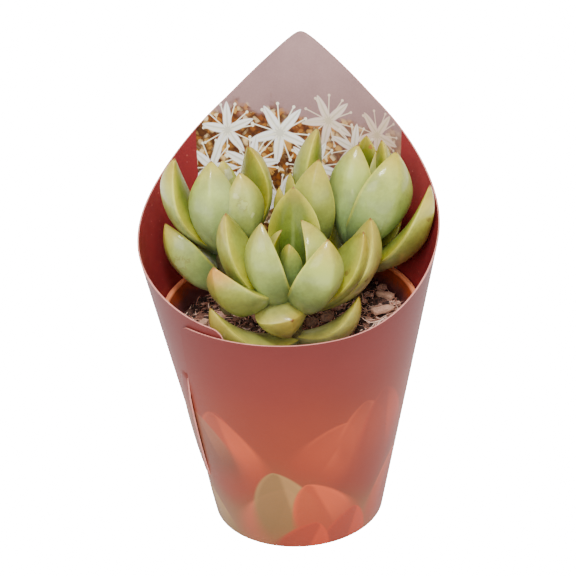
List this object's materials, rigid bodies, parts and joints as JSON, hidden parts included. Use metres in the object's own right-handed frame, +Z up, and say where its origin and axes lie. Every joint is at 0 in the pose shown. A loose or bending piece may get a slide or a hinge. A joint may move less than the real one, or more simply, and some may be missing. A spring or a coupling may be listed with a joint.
{
  "type": "potted succulent",
  "caption": "Rosette succulent with thick pointed leaves in a small round nursery pot, standing in a cone-shaped card sleeve with a pointed back.",
  "frame": {"origin": "centre of the pot's flat underside, which is also the foot of the sleeve", "axes": "+Z up out of the pot; -Y is the front, opposite the sleeve's pointed back; +X is to the right seen from the front"},
  "size_m": [0.069, 0.0731, 0.1053],
  "materials": {
    "sleeve_card": "coated card, satin, printed on both sides",
    "pot_plastic": "terracotta-coloured thin plastic, satin",
    "growing_medium": "fibrous coir and peat, dull",
    "leaves": "fleshy leaf with a thin waxy bloom, semi-gloss",
    "bark": "dry, dull",
    "pebbles": "smooth, dull"
  },
  "bodies": {
    "root": {"sleeve": "sleeve_card", "pot": "pot_plastic", "growing_medium": "growing_medium", "leafy_stem_front": "leaves", "leafy_stem_left": "leaves", "leafy_stem_right": "leaves", "leafy_stem_back": "leaves", "bark_chip_1": "bark", "bark_chip_2": "bark", "bark_chip_3": "bark", "bark_chip_4": "bark", "pebble_1": "pebbles", "pebble_2": "pebbles"}
  },
  "joints": []
}
